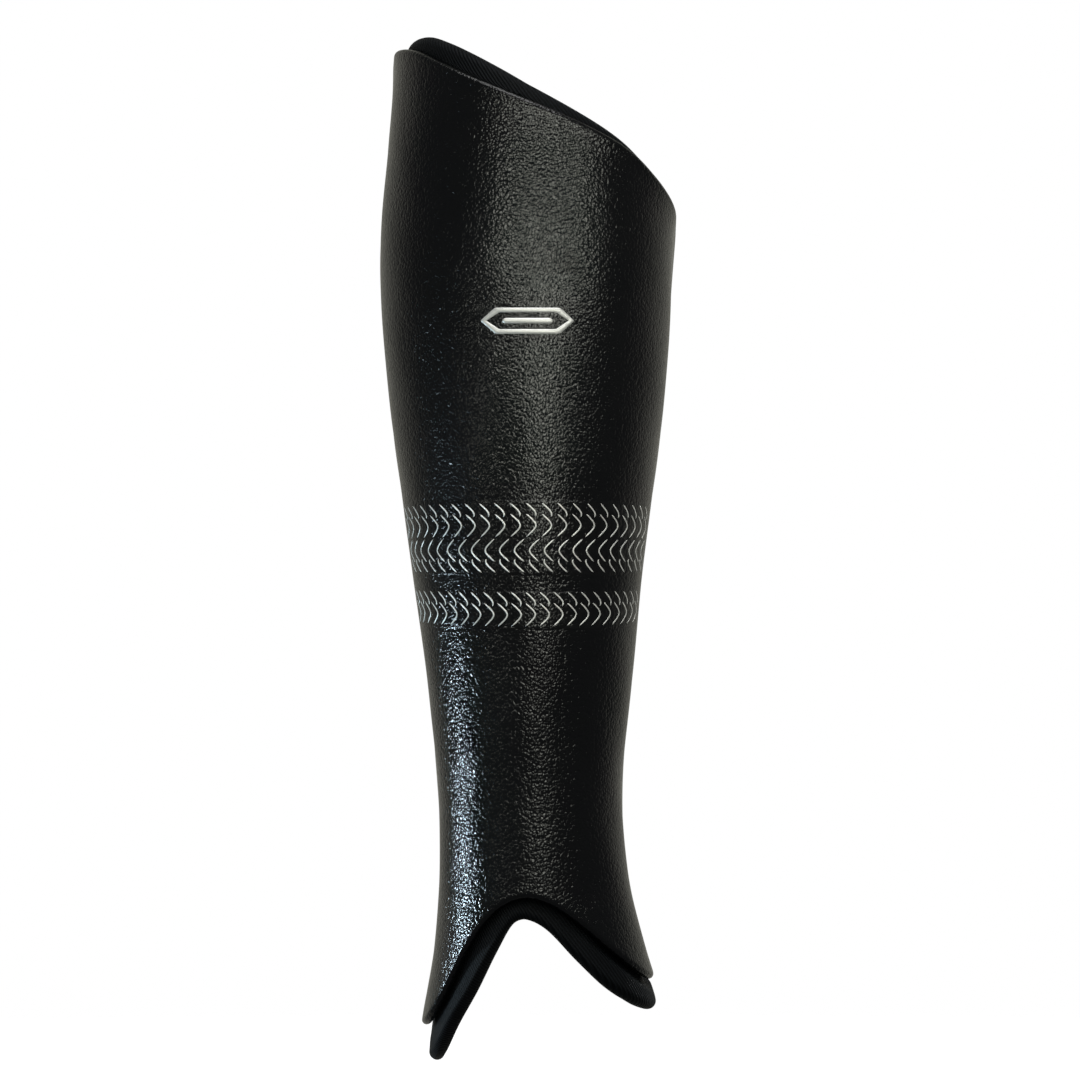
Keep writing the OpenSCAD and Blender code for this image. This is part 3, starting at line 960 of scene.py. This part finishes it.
def stitches(w, z, depth, material, name, node):
    """Separate stitches along a line of places, each sunk at both ends."""
    length, gap, radius = 3.0, 0.55, 0.32
    p = liner_place(w, z, depth) / MM
    steps = np.linalg.norm(np.diff(p, axis=0), axis=1)
    travel = np.concatenate([[0], np.cumsum(steps)])
    count = int(travel[-1] // (length + gap))
    pitch = travel[-1] / count
    share = np.linspace(0, 1, 9)
    paths, radii = [], []
    for k in range(count):
        at = k * pitch + gap / 2 + share * (pitch - gap)
        ww, zz = np.interp(at, travel, w), np.interp(at, travel, z)
        top = np.sin(np.pi * share) ** 0.5
        paths.append(liner_place(ww, zz, depth - 0.5 + 0.68 * top))
        radii.append((0.55 + 0.45 * top) * radius * MM)
    verts, faces = tubes(paths, radii, 6)
    piece = make_piece(name, "liner", verts, faces, material)
    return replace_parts(piece, node)


def build_threads(material):
    """The seam round the liner's edge, and a line of stitches down each channel."""
    cols, rows = 260, 300
    grid_at = outline_grid(LINER, cols, rows)
    w, z = grid_at(SEAM)
    rim = rim_of(cols, rows)
    w, z = w[rim], z[rim]
    w, z = np.append(w, w[0]), np.append(z, z[0])
    stitches(w, z, HEM + 0.05, material, "seam_stitches", "liner_seam_thread")
    for side, word in ((-1, "left"), (1, "right")):
        line = np.full(600, side * CHANNEL_AT, float)
        m = HEM_IN - 1
        z = np.linspace(float(LINER.low(line[0], m)), float(LINER.high(line[0], m)), 600)
        stitches(line, z, FACE, material, f"channel_stitches_{word}", f"channel_thread_{word}")


# ---------------------------------------------------------------------------
# Studio


def build_stage(floor_z):
    """A pale round floor that fades out away from the guard. It shows only to the camera."""
    radius, rings, sides = 3.0, 40, 96
    verts, faces = [(0, 0, floor_z)], []
    turns = np.linspace(0, 2 * np.pi, sides, endpoint=False)
    for k in range(1, rings + 1):
        r = radius * (k / rings) ** 2
        verts += [(r * math.cos(a), r * math.sin(a), floor_z) for a in turns]
    for i in range(sides):
        j = (i + 1) % sides
        faces.append((0, 1 + i, 1 + j))
        for k in range(rings - 1):
            a, b = 1 + k * sides, 1 + (k + 1) * sides
            faces.append((a + i, b + i, b + j, a + j))
    mesh = bpy.data.meshes.new("floor")
    mesh.from_pydata(verts, [], faces)
    n = Nodes("floor")
    where = n.add("TexCoord").outputs["Object"]
    distance = n.add("VectorMath", {0: where, 1: (0, 0, floor_z)}, operation="DISTANCE").outputs["Value"]
    fade_from, fade_to = 0.14, 0.6
    fade = n.add(
        "MapRange", {"Value": distance, 1: fade_from, 2: fade_to}, interpolation_type="SMOOTHSTEP"
    ).outputs[0]
    pale = n.add("BsdfPrincipled", {
        "Base Color": (0.45, 0.45, 0.45, 1), "Roughness": 1.0, "Specular IOR Level": 0.0,
        "Emission Color": (1, 1, 1, 1), "Emission Strength": 0.88,
    })
    clear = n.add("BsdfTransparent")
    mix = n.add("MixShader", {0: fade, 1: pale.outputs[0], 2: clear.outputs[0]})
    out = n.add("OutputMaterial")
    n.tree.links.new(mix.outputs[0], out.inputs["Surface"])
    mesh.materials.append(n.material)
    floor = bpy.data.objects.new("floor", mesh)
    bpy.context.scene.collection.objects.link(floor)
    floor.visible_glossy = False
    floor.visible_diffuse = False
    floor.visible_shadow = False


def build_world():
    """White to look at. As light it is a dim grey room, brighter behind the guard than in front."""
    world = bpy.data.worlds.new("studio")
    bpy.context.scene.world = world
    world.use_nodes = True
    tree = world.node_tree
    tree.nodes.clear()

    def add(kind, **inputs):
        node = tree.nodes.new("ShaderNode" + kind)
        for key, value in inputs.items():
            node.inputs[key].default_value = value
        return node

    seen = add("Background", Color=(1, 1, 1, 1), Strength=1.0)
    light = add("Background", Strength=1.0)
    where = add("TexCoord")
    split = add("SeparateXYZ")
    tree.links.new(where.outputs["Generated"], split.inputs[0])
    spread = add("MapRange")
    spread.interpolation_type = "SMOOTHSTEP"
    spread.inputs[1].default_value = 0.15
    spread.inputs[2].default_value = 0.95
    tree.links.new(split.outputs[1], spread.inputs[0])
    ramp = add("ValToRGB")
    ramp.color_ramp.elements[0].color = (0.07, 0.072, 0.075, 1)
    ramp.color_ramp.elements[1].color = (0.33, 0.325, 0.285, 1)
    tree.links.new(spread.outputs[0], ramp.inputs[0])
    tree.links.new(ramp.outputs[0], light.inputs["Color"])
    path = add("LightPath")
    mix = add("MixShader")
    tree.links.new(path.outputs["Is Camera Ray"], mix.inputs[0])
    tree.links.new(light.outputs[0], mix.inputs[1])
    tree.links.new(seen.outputs[0], mix.inputs[2])
    out = add("OutputWorld")
    tree.links.new(mix.outputs[0], out.inputs["Surface"])


def area_light(name, azimuth, distance, height, size, brightness, colour, tip=0, mirrored=True):
    """Soft panel that faces the leg axis. Azimuth 0 is in front of the guard, 90 on its right.
    tip leans it down, in degrees. mirrored=False keeps it out of glossy reflections."""
    a = math.radians(azimuth)
    data = bpy.data.lights.new(name, "AREA")
    data.shape = "RECTANGLE"
    data.size, data.size_y = size
    data.energy = brightness * math.pi * size[0] * size[1]
    data.color = colour
    light = bpy.data.objects.new(name, data)
    light.location = (math.sin(a) * distance, -math.cos(a) * distance, height)
    light.rotation_euler = (math.radians(90 - tip), 0, a)
    light.visible_camera = False
    light.visible_glossy = mirrored
    bpy.context.scene.collection.objects.link(light)


def build_lights():
    """Windows and panels close to the guard, for narrow highlights, and a light for its inside."""
    warm, cool, white = (0.98, 1.0, 0.89), (0.68, 0.87, 1.0), (1.0, 1.0, 1.0)
    near = 0.35
    area_light("window_low_left", -87, 0.237, -0.125, (0.030, 0.030), 105, cool)
    area_light("window_far_left", -82, 1.2, -0.52, (0.07, 0.07), 85, cool)
    area_light("panel_left", -12, near, 0.125, (0.085, 0.10), 5.0, warm)
    area_light("panel_centre", 13.5, near, 0.090, (0.078, 0.145), 5.2, warm)
    area_light("panel_right", 38.5, near, 0.135, (0.080, 0.10), 4.6, warm)
    area_light("panel_low", 11, near, -0.008, (0.05, 0.085), 4.6, warm)
    area_light("streak_left", -38, near, 0.0, (0.02, 0.05), 7.0, warm)
    area_light("overhead", 10, 0.75, 1.6, (1.4, 1.4), 3.2, white, tip=65)
    area_light("behind", 140, 1.4, 0.5, (0.6, 0.6), 13.0, white, tip=18, mirrored=False)


def build_camera():
    """Straight on from the front, from far away with a long lens."""
    distance, width, sensor = 6.0, 0.3914, 36.0
    data = bpy.data.cameras.new("camera")
    data.sensor_width = sensor
    data.lens = sensor * distance / width
    data.clip_start, data.clip_end = 0.1, 100
    camera = bpy.data.objects.new("camera", data)
    camera.location = (0.00435, -distance, 0.0027)
    camera.rotation_euler = (math.radians(90), 0, 0)
    bpy.context.scene.collection.objects.link(camera)
    bpy.context.scene.camera = camera


build_camera()
build_skin(skin_material())
build_plate(plate_material())
build_emblem(print_material("pale_print", (0.80, 0.80, 0.77), (0.62, 0.62, 0.60), 0.40))
FILM_LOOK = film_material()
INK = print_material("chevron_ink", (0.95, 0.95, 0.91), (0.42, 0.42, 0.41), 0.45)
build_band("upper_band_print", UPPER_ROWS, 17.0, 27.0, FILM_LOOK, INK)
build_band("lower_band_print", LOWER_ROWS, -16.0, 13.5, FILM_LOOK, INK)
HOOKS = hook_material()
for patch, side, height in (
    ("hook_patch_upper_left", -1, 118), ("hook_patch_upper_right", 1, 82),
    ("hook_patch_middle_left", -1, 0), ("hook_patch_middle_right", 1, 0),
    ("hook_patch_lower_left", -1, -104), ("hook_patch_lower_right", 1, -98),
):
    build_hook_patch(patch, side * PATCH_AT, height, HOOKS)
build_liner(twill_material(), lining_material(), foam_material())
build_threads(thread_material())
build_stage(cad_low.z)
build_world()
build_lights()
bpy.context.scene.view_settings.view_transform = "Standard"
